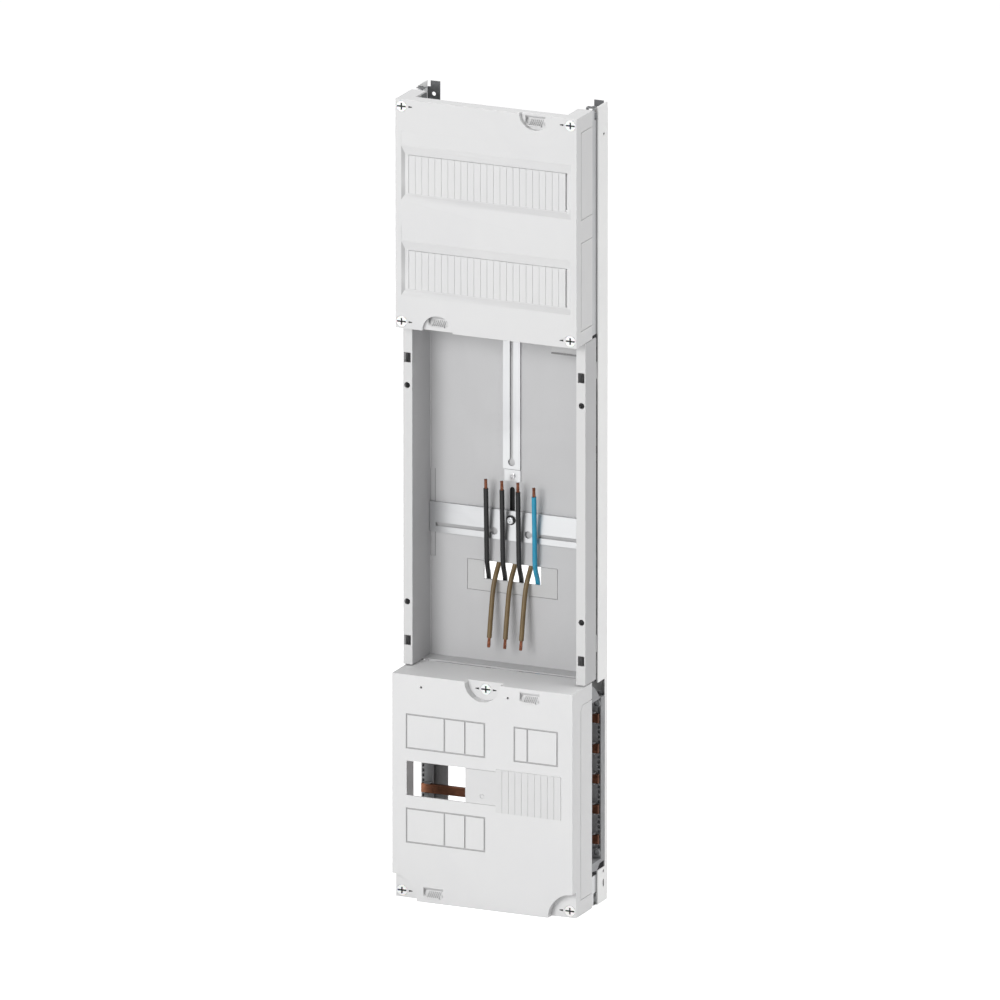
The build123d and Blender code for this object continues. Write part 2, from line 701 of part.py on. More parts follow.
with BuildPart() as upper_cover:
    shell(0, meter_top, upper_top)
    for z in rows:
        w = cover_wall
        block((-recess_half - w, recess_half + w), (0.5, window_recess + w),
              (z - recess_down - w, z + recess_up + w))
        with BuildSketch(face(0)):
            with Locations((0, z + (recess_up - recess_down) / 2)):
                Rectangle(2 * recess_half, recess_up + recess_down)
        with BuildSketch(face(window_recess)):
            with Locations((0, z - 0.8)):
                Rectangle(2 * recess_floor_half, recess_floor_height)
        loft(mode=Mode.SUBTRACT)
    for x, z in ((thumb_x, upper_top), (-thumb_x, meter_top)):
        pocket(x, z, 0, thumb_depth, thumb_radius, meter_top, upper_top)
    for z in rows:
        block((-window_half, window_half), (window_recess - 1, window_recess + 4),
              (z - 0.8 - window_height / 2, z - 0.8 + window_height / 2), Mode.SUBTRACT)
        label_z = z + recess_up + label_height / 2 + 1.0
        block((-recess_half, recess_half), (-1, label_drop),
              (label_z - label_height / 2, label_z + label_height / 2), Mode.SUBTRACT)
    open_flange(upper_top, 1)
    open_flange(meter_top, -1)
    pull_grip(thumb_x - 1.5, upper_top - 15.1, thumb_depth)
    pull_grip(-thumb_x - 1.5, meter_top + 6.7, thumb_depth)
    for z in (meter_top + screw_edge, upper_top - screw_edge):
        for _, s in sides:
            screw_boss(s * screw_x, z, 0)
            slot_mark(s * (screw_x - 9.6), z, 0, -s)
    # scored panels on both side walls
    for low, high in ((meter_top + 19.0, meter_top + 134.0),
                      (field_height - 135.5, field_height - 21.0)):
        for _, s in sides:
            for y, z in (((14.4, 15.6), (low, high)), ((14.4, cover_rear + 1), (low - 0.6, low + 0.6)),
                         ((14.4, cover_rear + 1), (high - 0.6, high + 0.6))):
                block(pair(half - 0.9, half + 1, s), y, z, Mode.SUBTRACT)
save(upper_cover, "upper_cover")

strip_thick = 2.0


def grooved_strip(x0, count, z, height, y, thick):
    """Blanking strip: a plate scored at every half module."""
    block((x0, x0 + count * groove_pitch), (y, y + thick), (z - height / 2, z + height / 2))
    for i in range(1, count):
        x = x0 + i * groove_pitch
        block((x - 0.45, x + 0.45), (y - 1, y + 0.7), (z - height / 2 - 1, z + height / 2 + 1),
              Mode.SUBTRACT)


for name, z in zip(("upper_blanking_strip", "middle_blanking_strip"), rows):
    with BuildPart() as strip:
        grooved_strip(0.8 - window_half, 24, z - 0.8, window_height - 0.6, window_recess - 0.7, strip_thick)
        # a step at the right end that closes the window's gap
        end = 0.8 - window_half + 24 * groove_pitch
        block((end - 1.2, end), (window_recess, window_recess + cover_wall + 1.3), (z - 24, z + 22.4))
        block((end - 1.2, window_half + 1.5),
              (window_recess + cover_wall + 0.1, window_recess + cover_wall + 1.3), (z - 24, z + 22.4))
        # clips behind the window's edges
        for _, s in sides:
            for x in (-90, -30, 30, 90):
                edge = z - 0.8 + s * (window_height / 2 - 0.3)
                rear = window_recess + cover_wall
                block((x - 5, x + 5), (window_recess, rear + 1.2), sorted((edge, edge - s * 1.6)))
                block((x - 5, x + 5), (rear, rear + 1.2), sorted((edge - s * 1.6, edge + s * 1.2)))
    save(strip, name)

# lower cover
pocket_top_radius = 24.5
pocket_corner_radius = 34.0
sls = 27.0                   # one pole of a main circuit breaker
slot_left = -half + 20.2
slot_low_z = 139.2
slot_high_z = 184.7
slot_right = half - 19.0
knock_low = 77.5
knock_high = 202.0
knock_height = 44.3


def outline(x0, x1, z0, z1, lines=()):
    """Scored outline of a knock-out, with upright dividers."""
    y = lower_front
    w, d = 1.0, 1.6
    for z in (z0, z1):
        block((x0 - w, x1 + w), (y - 1, y + d), (z - w, z + w), Mode.SUBTRACT)
    for x in (x0, x1, *lines):
        block((x - w, x + w), (y - 1, y + d), (z0 - w, z1 + w), Mode.SUBTRACT)


with BuildPart() as lower_cover:
    shell(lower_front, 0, lower_top)
    pocket(0, lower_top, lower_front, 0, pocket_top_radius, 0, lower_top)
    for _, s in sides:
        pocket(s * half, 0, lower_front, 0, pocket_corner_radius, 0, lower_top)
    block((-half + 4, half - 4), (cover_rear - 1, top_wall_rear), (lower_top - cover_wall, lower_top))
    open_flange(0, -1)
    block((slot_left, slot_right), (lower_front - 1, lower_front + 4), (slot_low_z, slot_high_z),
          Mode.SUBTRACT)
    left = slot_left + 0.1
    for z in (knock_low, knock_high):
        outline(left, left + 4 * sls, z, z + knock_height, (left + 2 * sls - 1.5, left + 3 * sls))
    third = slot_right - 61.2
    outline(third, slot_right - 2.0, knock_high, knock_high + knock_height, (third + module, ))
    pull_grip(65.5, 281.5, lower_front)
    pull_grip(-68.0, 8.1, lower_front)
    screw_boss(0, lug_screw_z, 0)
    for _, s in sides:
        screw_boss(s * screw_x, screw_edge, 0)
        slot_mark(s * (screw_x - 9.6), screw_edge, 0, -s)
        slot_mark(s * 9.6, lug_screw_z, 0, s)
        with BuildSketch(side(s * half - (0.9 if s > 0 else 1.0))) as panel:
            with BuildLine():
                Polyline((14, 20), (14, 270), (21, 277), (cover_rear + 1, 277), (cover_rear + 1, 275.8),
                         (21.5, 275.8), (15.2, 269.5), (15.2, 21.2), (cover_rear + 1, 21.2),
                         (cover_rear + 1, 20), (14, 20))
            make_face()
        extrude(panel.sketch, amount=1.9, mode=Mode.SUBTRACT)
    for x in (-84.6, 35.5):
        disc(x, 283.6, (lower_front + 1, lower_front + 9.0), 3.6)
        disc(x, 283.6, (lower_front - 1, lower_front + 7.5), 1.6, Mode.SUBTRACT)
save(lower_cover, "lower_cover")

raised = 1.3
strip_left = slot_right - 86.8

with BuildPart() as lower_blanking_strip:
    grooved_strip(strip_left, 10, 159.6, 56.7, lower_front - raised, raised)
    block((strip_left + 2, slot_right - gap), (lower_front, lower_front + cover_wall - gap),
          (slot_low_z + gap, slot_high_z - gap))
save(lower_blanking_strip, "lower_blanking_strip")

insert_left = slot_left + 3 * sls + 0.4

with BuildPart() as blank_insert:
    rear = lower_front + cover_wall
    block((insert_left, strip_left + 2 - gap), (lower_front + 0.1, rear + 0.1),
          (slot_low_z + 0.4, slot_high_z - 0.4))
    block((insert_left, slot_right - 14.0), (rear + 0.1, rear + 1.3), (slot_low_z - 3.0, slot_high_z + 3.0))
    with BuildSketch(face(lower_front + 1.0)):
        with Locations((0, 150.0)):
            Circle(3.2)
        with Locations((0, 150.0)):
            Circle(2.2, mode=Mode.SUBTRACT)
    extrude(amount=1.2, mode=Mode.SUBTRACT)
save(blank_insert, "blank_insert")

# ---- quarter-turn screws ---------------------------------------------------------------
screws = {
    "screw_top_left": (-screw_x, upper_top - screw_edge),
    "screw_top_right": (screw_x, upper_top - screw_edge),
    "screw_middle_left": (-screw_x, meter_top + screw_edge),
    "screw_middle_right": (screw_x, meter_top + screw_edge),
    "screw_lower_centre": (0, lug_screw_z),
    "screw_bottom_left": (-screw_x, screw_edge),
    "screw_bottom_right": (screw_x, screw_edge),
}

for name, (x, z) in screws.items():
    with BuildPart() as screw:
        disc(x, z, (-screw_proud, screw_head_depth - gap), screw_head / 2)
        rim = screw.edges().filter_by(GeomType.CIRCLE).sort_by(Axis.Y)
        fillet(rim[0], radius=0.5)
        disc(x, z, (0, wing_depth + wing_thick + 0.7), screw_shaft / 2)
        block((x - wing_length / 2, x + wing_length / 2), (wing_depth, wing_depth + wing_thick),
              (z - wing_width / 2, z + wing_width / 2))
        for w, h in ((12.2, 1.9), (1.9, 8.6)):
            block((x - w / 2, x + w / 2), (-screw_proud - 1, cross_depth), (z - h / 2, z + h / 2), Mode.SUBTRACT)
    save(screw, name)

# ---- terminal blocks and leads ---------------------------------------------------------
terminal_depth = 19.0
lead_y = 91.8                # depth of the leads behind the meter board
supply_top = meter_bottom - 16.0
outgoing_foot = meter_top + 18.0
supply_x = [-37.2 + 22.7 * i for i in range(4)]
outgoing_x = [-lead_pitch + lead_pitch * i for i in range(3)]
terminals = {
    "supply_terminal_block": (supply_x, supply_top - 24.0, supply_top, 1),
    "outgoing_terminal_block": (outgoing_x, outgoing_foot, outgoing_foot + 24.0, -1),
}
terminal_front = bar_rear - bar_wall - terminal_depth

for name, (poles, low, high, up) in terminals.items():
    with BuildPart() as terminal:
        for x in poles:
            block((x - 8.5, x + 8.5), (terminal_front, bar_rear - bar_wall), (low, high))
        block((poles[0], poles[-1]), (terminal_front + 2, bar_rear - bar_wall), (low + 2, high - 2))
        for x in poles:
            mouth = high if up > 0 else low
            with BuildSketch(level(mouth)):
                with Locations((x, lead_y)):
                    Circle(lead_dia / 2)
            extrude(amount=-up * 12.0, mode=Mode.SUBTRACT)
            disc(x, (low + high) / 2, (terminal_front - 1, terminal_front + 3), 3.4, Mode.SUBTRACT)
    save(terminal, name)

with BuildPart() as terminal_screws:
    for poles, low, high, up in terminals.values():
        for x in poles:
            z = (low + high) / 2
            disc(x, z, (terminal_front + 0.8, terminal_front + 3), 2.9)
            block((x - 2.6, x + 2.6), (terminal_front, terminal_front + 1.8), (z - 0.45, z + 0.45),
                  Mode.SUBTRACT)
save(terminal_screws, "terminal_screws")


def bend_radii(points):
    """Each arc takes bend_share of the shorter of its two runs."""
    vectors = [Vector(*p) for p in points]
    radii = []
    for a, b, c in zip(vectors, vectors[1:], vectors[2:]):
        turn = (b - a).get_angle(c - b)
        radii.append(bend_share * min((b - a).length, (c - b).length) / tan(radians(turn / 2)))
    return radii


def lead(points, name):
    """Insulated lead along the points, and its path for the bare end."""
    radii = bend_radii(points)
    print(name, "radii", [round(r, 1) for r in radii])
    with BuildPart() as tube:
        with BuildLine() as path:
            FilletPolyline(*points, radius=radii)
        with BuildSketch(Plane(origin=path.line @ 0, z_dir=path.line % 0)):
            Circle(lead_dia / 2)
        sweep(path=path.line)
    run = path.wires()[0]
    section = pi * lead_dia ** 2 / 4
    print("   length", round(run.length, 1), "volume ratio",
          round(tube.part.volume / (section * run.length), 4))
    save(tube, name)
    return run


def bare_tip(line):
    """Stripped end of a lead, straight on from its insulation."""
    with BuildSketch(Plane(origin=line @ 1, z_dir=line % 1)) as core:
        Circle(core_dia / 2)
    extrude(core.sketch, amount=bare_end)


def lead_point(x, y, z):
    return (x, y + datum, z)


# Leads that rise from the supply terminals, through the window, to the meter.
rising = []
for i, x in enumerate(supply_x):
    meter_x = -33.3 + lead_pitch * i
    wave = 0.8 if i % 2 else -0.8
    rising.append([
        lead_point(x, lead_y, supply_top - 12),
        lead_point(x, lead_y, supply_top + 24),
        lead_point(x + wave, lead_y + 0.5, supply_top + 62),
        lead_point(x - 0.5, lead_y, supply_top + 94),
        lead_point(x + 0.4, lead_y + 0.3, 396.0),
        lead_point(x + 1.4, lead_y - 1.4, 411.0),
        lead_point(meter_x + 1.0, 76.3, 430.0),
        lead_point(meter_x + 1.6, 74.0, 449.5),
        lead_point(meter_x + 2.8, 70.4, 488.0),
        lead_point(meter_x + 4.2, 65.6, 532.5 if i < 3 else 528.5),
    ])
lead_names = ["black_lead_1", "black_lead_2", "black_lead_3", "blue_lead"]
lines = [lead(points, name) for points, name in zip(rising, lead_names)]

with BuildPart() as black_lead_tips:
    for line in lines[:3]:
        bare_tip(line)
save(black_lead_tips, "black_lead_tips")

with BuildPart() as blue_lead_tip:
    bare_tip(lines[3])
save(blue_lead_tip, "blue_lead_tip")

# Leads that come down from the outgoing terminals and hang forward out of the window.
hanging = []
for i, x in enumerate(outgoing_x):
    wave = 0.7 if i % 2 else -0.7
    top = outgoing_foot
    hanging.append([
        lead_point(x, lead_y, top + 12),
        lead_point(x, lead_y, top - 30),
        lead_point(x - wave, lead_y + 0.5, top - 98),
        lead_point(x + wave, lead_y + 0.2, top - 178),
        lead_point(x - wave, lead_y + 0.3, top - 253),
        lead_point(x + 1.2, lead_y + 0.2, top - 294),
        lead_point(x + 1.4, lead_y + 0.3, 447.5),
        lead_point(x + 1.4, lead_y - 0.4, 432.0),
        lead_point(x, 74.0, 407.0),
        lead_point(x - 0.2, 66.0, 366.0),
        lead_point(x, 60.6, 337.5 + 0.5 * i),
    ])
brown = [lead(points, f"brown_lead_{i + 1}") for i, points in enumerate(hanging)]

with BuildPart() as brown_lead_tips:
    for line in brown:
        bare_tip(line)
save(brown_lead_tips, "brown_lead_tips")
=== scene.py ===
from math import cos, pi, radians, sin

import bmesh
import bpy
from mathutils import Matrix, Vector


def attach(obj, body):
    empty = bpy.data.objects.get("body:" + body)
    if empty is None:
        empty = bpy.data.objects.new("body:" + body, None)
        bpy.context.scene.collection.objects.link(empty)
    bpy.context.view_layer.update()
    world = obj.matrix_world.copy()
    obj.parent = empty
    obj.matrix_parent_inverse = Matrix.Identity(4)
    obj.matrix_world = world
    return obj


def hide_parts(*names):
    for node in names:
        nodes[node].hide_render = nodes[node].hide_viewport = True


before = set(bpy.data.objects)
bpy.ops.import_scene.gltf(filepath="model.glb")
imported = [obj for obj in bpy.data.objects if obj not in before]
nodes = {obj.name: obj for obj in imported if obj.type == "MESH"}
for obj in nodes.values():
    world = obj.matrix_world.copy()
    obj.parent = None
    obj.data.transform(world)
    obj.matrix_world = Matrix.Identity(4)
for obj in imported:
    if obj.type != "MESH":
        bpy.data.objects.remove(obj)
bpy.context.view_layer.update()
MM = 0.001

# ---- camera --------------------------------------------------------------------------
# Nearly parallel view from the right, a little above.
TURN, TILT = 0.417146643, 0.278572850
DISTANCE = 46.0
LENS = 1308.3374
AIM = Vector((0, -0.00195, 0.525))

look = Vector((-sin(TURN) * cos(TILT), cos(TURN) * cos(TILT), -sin(TILT)))
right = Vector((cos(TURN), sin(TURN), 0))
upward = right.cross(look)
camera_data = bpy.data.cameras.new("camera")
camera_data.sensor_width = 36
camera_data.lens = LENS
camera_data.clip_start = 1
camera_data.clip_end = 400
camera = bpy.data.objects.new("camera", camera_data)
camera.rotation_mode = "QUATERNION"
camera.location = AIM + right * 0.001668 + upward * 0.001935 - look * DISTANCE
camera.rotation_quaternion = look.to_track_quat("-Z", "Y")
bpy.context.scene.collection.objects.link(camera)
bpy.context.scene.camera = camera
bpy.context.scene.view_settings.view_transform = "Standard"


# ---- finishes ------------------------------------------------------------------------
def tone(red, green=None, blue=None):
    """A colour from its 0 to 255 screen values, as the shaders take it."""
    values = (red, red if green is None else green, red if blue is None else blue)
    return tuple(
        v / 255 / 12.92 if v <= 10 else ((v / 255 + 0.055) / 1.055) ** 2.4 for v in values
    ) + (1.0,)


class Value:
    """An output of a finish's node tree. Sums and products of values add Math nodes."""

    def __init__(self, finish, socket):
        self.finish, self.socket = finish, socket

    def _math(self, operation, a, b):
        return self.finish.node("Math", {0: a, 1: b}, operation=operation)

    def __add__(self, other):
        return self._math("ADD", self, other)

    __radd__ = __add__

    def __sub__(self, other):
        return self._math("SUBTRACT", self, other)

    def __mul__(self, other):
        return self._math("MULTIPLY", self, other)


class Finish:
    """One material and its nodes."""

    def __init__(self, name):
        self.material = bpy.data.materials.new(name)
        self.material.use_nodes = True
        self.tree = self.material.node_tree
        self.tree.nodes.clear()
        self.place = self.node("TexCoord", {}, out="Object")

    def node(self, kind, inputs, out=0, **settings):
        made = self.tree.nodes.new("ShaderNode" + kind)
        for key, value in settings.items():
            setattr(made, key, value)
        for key, value in inputs.items():
            if isinstance(value, Value):
                self.tree.links.new(value.socket, made.inputs[key])
            else:
                made.inputs[key].default_value = value
        return Value(self, made.outputs[out])

    def noise(self, scale, detail=3.0, rough=0.5, stretch=None, warp=0.0):
        """Noise from 0 to 1 with so many bumps per metre, stretched along an axis if asked."""
        place = self.place
        if stretch:
            place = self.node("Mapping", {"Vector": place, "Scale": stretch})
        return self.node("TexNoise", {"Vector": place, "Scale": scale, "Detail": detail,
                                      "Roughness": rough, "Distortion": warp}, out="Fac")

    def step(self, value, low, high):
        """0 below low, 1 above high, and smooth between."""
        return self.node("MapRange", {"Value": value, "From Min": low, "From Max": high},
                         interpolation_type="SMOOTHSTEP")

    def part(self, value, axis):
        """One component of a vector."""
        return self.node("SeparateXYZ", {0: value}, out="XYZ".index(axis))

    def above(self, value, limit):
        return self._test("GREATER_THAN", value, limit)

    def below(self, value, limit):
        return self._test("LESS_THAN", value, limit)

    def _test(self, operation, value, limit):
        return self.node("Math", {0: value, 1: limit}, operation=operation)

    def size(self, value):
        return self.node("Math", {0: value}, operation="ABSOLUTE")

    def painted(self, axis="X"):
        """How much of a piece's face is painted with shade: X in the recess colour, Y in black."""
        return self.part(self.node("TexCoord", {}, out="UV"), axis)

    def between(self, value, low, high):
        return self.above(value, low) * self.below(value, high)

    def mix(self, share, a, b):
        return self.node("Mix", {0: share, 6: a, 7: b}, out=2, data_type="RGBA")

    def bump(self, height, distance, strength=1.0, under=None):
        inputs = {"Height": height, "Distance": distance, "Strength": strength}
        if under:
            inputs["Normal"] = under
        return self.node("Bump", inputs)

    def surface(self, **sockets):
        inputs = {key.replace("_", " "): value for key, value in sockets.items()}
        shader = self.node("BsdfPrincipled", inputs)
        output = self.tree.nodes.new("ShaderNodeOutputMaterial")
        self.tree.links.new(shader.socket, output.inputs["Surface"])
        return self.material


def moulded(name, colour, shade, rough=0.5, grain=2600, depth=0.00006, recess_shade=None, dark=None,
            pale=None):
    """Injection-moulded plastic: spark-eroded grain, faint flow clouds and handling marks.

    Recess gives the colour of faces painted with shade. Dark takes the finish and says where
    shade is painted near black. In front of depth pale, painted light makes the plastic paler.
    """
    f = Finish(name)
    clouds = f.noise(9, 4, 0.55, warp=0.8)
    streaks = f.noise(60, 3, 0.5, stretch=(1, 1, 0.12))
    specks = f.noise(520, 2, 0.6)
    tint = f.mix(f.step(clouds, 0.32, 0.72) * 0.55 + streaks * 0.25, tone(*colour), tone(*shade))
    tint = f.mix(f.step(specks, 0.66, 0.8) * 0.25, tint, tone(*[v - 14 for v in shade]))
    # Painted shade: a grey on pocket walls, grooves and grip ribs, and black on the screw marks.
    if recess_shade:
        tint = f.mix(f.painted(), tint, tone(*recess_shade))
        tint = f.mix(f.painted("Y"), tint, tone(34))
    # Painted shade, near black, wherever the finish's mask says no light comes.
    if dark:
        tint = f.mix(dark(f), tint, tone(30))
    # Painted light: everything in front of the given depth is made paler.
    if pale:
        tint = f.mix(f.below(f.part(f.place, "Y"), pale), tint, tone(212))
    rubs = f.step(f.noise(38, 5, 0.65, stretch=(1, 1, 0.35)), 0.58, 0.75)
    fine = f.noise(grain, 2, 0.6)
    soft = f.noise(grain * 0.3, 2, 0.5)
    relief = f.bump(fine * 0.6 + soft * 0.4, depth)
    return f.surface(Base_Color=tint, Roughness=rough + clouds * 0.08 - rubs * 0.1, Normal=relief,
                     IOR=1.47)


def coated(name):
    """Powder coat on sheet steel, with its orange peel, and painted shade on the flanges in a darker
    steel grey.
    """
    f = Finish(name)
    clouds = f.noise(7, 3, 0.5)
    peel = f.noise(420, 2, 0.55, warp=0.4)
    tint = f.mix(f.step(clouds, 0.3, 0.7), tone(246, 246, 245), tone(241, 241, 241))
    nicks = f.step(f.noise(240, 4, 0.7), 0.70, 0.78)
    tint = f.mix(nicks * 0.35, tint, tone(196, 196, 194))
    # Painted shade: the flanges inside the outer webs take a darker steel grey.
    flange_shade = f.below(f.size(f.part(f.place, "X")), 0.1234)
    steel = f.mix(f.step(clouds, 0.3, 0.7), tone(120, 121, 123), tone(100, 101, 103))
    tint = f.mix(flange_shade, tint, steel)
    relief = f.bump(peel, 0.00012, 0.7)
    return f.surface(Base_Color=tint, Roughness=0.34 + peel * 0.12, Normal=relief, IOR=1.5,
                     Coat_Weight=0.15, Coat_Roughness=0.2)


def plated(name, along, light=(210, 211, 212), dark=(192, 193, 195), rough=0.3):
    """Bright zinc plate on rolled strip: lines along the strip, cloudy lustre, fine scratches."""
    f = Finish(name)
    stretch = [1.0, 1.0, 1.0]
    stretch["XYZ".index(along)] = 0.015
    lines = f.noise(900, 3, 0.6, stretch=tuple(stretch))
    broad = f.noise(9, 3, 0.5, warp=0.6)
    scratches = f.step(f.noise(1500, 2, 0.5, stretch=tuple(v * 0.6 for v in stretch)), 0.68, 0.74)
    tint = f.mix(f.step(broad, 0.3, 0.75) * 0.7 + lines * 0.3, tone(*light), tone(*dark))
    relief = f.bump(lines * 0.8 + scratches * 0.2, 0.000015)
    return f.surface(Base_Color=tint, Metallic=1.0,
                     Roughness=rough + lines * 0.08 + f.step(broad, 0.5, 0.9) * 0.06 - scratches * 0.05,
                     Normal=relief)


def filled_plastic(name):
    """Glass-filled plastic: dull, with pale fibre specks and flow swirls."""
    f = Finish(name)
    swirl = f.noise(22, 5, 0.6, warp=2.5)
    fibre = f.step(f.noise(1400, 2, 0.5, stretch=(1, 1, 0.25)), 0.63, 0.72)
    tint = f.mix(f.step(swirl, 0.3, 0.75), tone(140, 141, 143), tone(160, 161, 163))
    tint = f.mix(fibre * 0.3, tint, tone(186, 186, 188))
    relief = f.bump(f.noise(2200, 3, 0.6) * 0.7 + swirl * 0.3, 0.00009)
    return f.surface(Base_Color=tint, Roughness=0.5 + swirl * 0.16, Normal=relief, IOR=1.5)


def rolled_copper(name, clean=(156, 106, 82), dull=(112, 76, 58), deep=(86, 60, 48)):
    """Copper bar with rolling lines, brown handling bloom and darker blots."""
    f = Finish(name)
    lines = f.noise(1100, 3, 0.6, stretch=(0.02, 1, 1))
    bloom = f.noise(26, 5, 0.62, warp=1.6)
    blots = f.step(f.noise(70, 4, 0.6, warp=0.6), 0.55, 0.72)
    tint = f.mix(f.step(bloom, 0.3, 0.7), tone(*clean), tone(*dull))
    tint = f.mix(blots * 0.6 + lines * 0.12, tint, tone(*deep))
    relief = f.bump(lines, 0.00002)
    return f.surface(Base_Color=tint, Metallic=1.0, Roughness=0.3 + bloom * 0.16 + blots * 0.14,
                     Normal=relief)


def jacket_plastic(name, colour, shade):
    """Extruded lead insulation: soft gloss, faint draw lines and dusty patches."""
    f = Finish(name)
    patches = f.noise(45, 4, 0.6)
    wipes = f.noise(700, 2, 0.5, stretch=(1, 1, 0.06))
    dust = f.step(f.noise(1300, 2, 0.6), 0.68, 0.76)
    tint = f.mix(f.step(patches, 0.3, 0.75), tone(*colour), tone(*shade))
    tint = f.mix(dust * 0.12, tint, tone(150, 148, 144))
    relief = f.bump(wipes * 0.6 + patches * 0.4, 0.00004)
    return f.surface(Base_Color=tint, Roughness=0.36 + patches * 0.16, Normal=relief, IOR=1.5)


def nylon(name):
    """White nylon: waxy gloss with a little light going into it."""
    f = Finish(name)
    clouds = f.noise(120, 3, 0.5)
    tint = f.mix(clouds, tone(252, 252, 251), tone(243, 243, 242))
    # Painted shade: the cross slots' walls and floor are made near black.
    tint = f.mix(f.painted(), tint, tone(12))
    relief = f.bump(f.noise(1800, 2, 0.5), 0.00003)
    return f.surface(Base_Color=tint, Roughness=0.26 + clouds * 0.14, Normal=relief, IOR=1.53,
                     Subsurface_Weight=0.15, Subsurface_Scale=0.002)


def strand_copper(name):
    """Bare stranded copper, freshly cut."""
    f = Finish(name)
    clouds = f.noise(400, 3, 0.6)
    tint = f.mix(f.step(clouds, 0.3, 0.7), tone(158, 106, 84), tone(118, 76, 58))
    relief = f.bump(f.noise(2500, 2, 0.5, stretch=(1, 1, 0.1)), 0.00002)
    return f.surface(Base_Color=tint, Metallic=1.0, Roughness=0.42 + clouds * 0.14, Normal=relief)


# Depth and height ranges where shade is painted on the board and the label holder, in metres.
CHANNEL, CLAMP = (0.0416, 0.0463), (0.458, 0.542)
GROOVE, GUIDE = (0.0415, 0.0425), (0.430, 0.5455)
CHANNEL_HALF = 7.9 * MM
GROOVE_EDGE = (106.0 * MM, 107.9 * MM)
HOLDER_LOW, HOLDER_LIP = 0.7225, 1.9 * MM
# In front of this depth, the board's column fronts are painted paler to stand in for light.
COLUMN_FRONT = -15.5 * MM


def board_painted_shade(f):
    """Painted shade: near black in the channel behind the clamp slot, and about half as strong on the
    edges of the guide grooves.
    """
    x, y, z = f.size(f.part(f.place, "X")), f.part(f.place, "Y"), f.part(f.place, "Z")
    channel = f.below(x, CHANNEL_HALF) * f.between(y, *CHANNEL) * f.between(z, *CLAMP)
    groove = f.between(x, *GROOVE_EDGE) * f.between(y, *GROOVE) * f.between(z, *GUIDE)
    return channel + groove * 0.55


def holder_painted_shade(f):
    """Painted shade on the lower lip of the label holder."""
    return f.below(f.part(f.place, "Z"), HOLDER_LOW + HOLDER_LIP) * 0.6


finishes = {
    "cover": moulded("cover_plastic", (218, 218, 218), (214, 214, 215), 0.46),
    # Both covers take a grey for the shade painted in their recesses.
    "upper": moulded("upper_cover_plastic", (218, 218, 218), (214, 214, 215), 0.46,
                     recess_shade=(104, 104, 105)),
    "lower": moulded("lower_cover_plastic", (224, 224, 224), (220, 220, 221), 0.46,
                     recess_shade=(104, 104, 105)),
    # The board takes painted shade in the clamp channel and on the groove edges, and painted light on
    # its column fronts; the holder takes painted shade on its lower lip.
    "board": moulded("board_plastic", (193, 193, 194), (188, 188, 189), 0.5, dark=board_painted_shade,
                     pale=COLUMN_FRONT),
    "holder": moulded("holder_plastic", (198, 198, 198), (192, 192, 193), 0.45, dark=holder_painted_shade),
    "entry": moulded("entry_plastic", (194, 194, 194), (189, 189, 189), 0.45, depth=0.00004),
    "terminal": moulded("terminal_plastic", (104, 106, 108), (92, 94, 96), 0.5),
    "washer": moulded("washer_plastic", (24, 24, 25), (18, 18, 19), 0.42),
    "screw": nylon("screw_nylon"),
    "rail": coated("rail_coat"),
    "plate_x": plated("plated_strip_across", "X"),
    "plate_z": plated("plated_strip_upright", "Z"),
    "fastener": plated("plated_fastener", "Y", (208, 209, 210), (176, 178, 181), 0.26),
    "support": filled_plastic("support_plastic"),
    "bar": rolled_copper("busbar_copper"),
    "black": jacket_plastic("black_jacket", (15, 15, 16), (21, 21, 22)),
    "blue": jacket_plastic("blue_jacket", (30, 138, 172), (44, 152, 184)),
    "brown": jacket_plastic("brown_jacket", (116, 96, 62), (102, 84, 54)),
    "strand": strand_copper("strand_copper"),
}

# Which finish each carried-over node takes.
node_finish = {
    "cover": ("upper_cover", "lower_cover", "upper_blanking_strip", "middle_blanking_strip",
              "lower_blanking_strip", "blank_insert"),
    "board": ("meter_board", ),
    "holder": ("label_holder", ),
    "entry": ("cable_entry_plate", ),
    "terminal": ("supply_terminal_block", "outgoing_terminal_block"),
    "washer": ("rail_clamp_washer", ),
    "screw": tuple(n for n in nodes if n.startswith("screw_")),
    "rail": ("left_side_rail", "right_side_rail"),
    "plate_x": ("meter_rail", "upper_din_rail", "lower_din_rail", "lower_crossbar", "upper_crossbar",
                "strip_holder"),
    "plate_z": ("meter_strip", "left_device_support", "right_device_support", "left_cover_bracket",
                "right_cover_bracket", "din_rail_brackets"),
    "fastener": ("top_rail_clips", "bottom_rail_clips", "crossbar_screws", "board_screws",
                 "strip_holder_screw", "rail_clamp_nut", "rail_clamp_screw", "terminal_screws",
                 "busbar_support_screws"),
    "support": ("left_busbar_support", "right_busbar_support"),
    "bar": tuple(f"busbar_{i}" for i in range(1, 6)),
}
for key, names in node_finish.items():
    for name in names:
        slots = nodes[name].data.materials
        slots.clear()
        slots.append(finishes[key])


# ---- pieces --------------------------------------------------------------------------
def piece(form, name, finish, body, crease=35):
    """Makes a finished piece of a bmesh, smooth but for edges sharper than crease degrees."""
    mesh = bpy.data.meshes.new(name)
    form.to_mesh(mesh)
    form.free()
    mesh.polygons.foreach_set("use_smooth", [True] * len(mesh.polygons))
    mesh.set_sharp_from_angle(angle=radians(crease))
    mesh.materials.append(finishes[finish])
    made = bpy.data.objects.new(name, mesh)
    bpy.context.scene.collection.objects.link(made)
    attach(made, body)
    return made


# ---- leads ---------------------------------------------------------------------------
LEAD_RADIUS = 3.1 * MM
BARE_END = 12.5 * MM
DEPTH = -41.95
PITCH = 22.2                  # between outgoing terminals, and between the leads at the meter
SUPPLY_PITCH = 22.7           # between supply terminals
FIRST_SUPPLY, FIRST_METER = -37.2, -33.3


def route(points):
    return [Vector((x * MM, (y + DEPTH) * MM, z * MM)) for x, y, z in points]


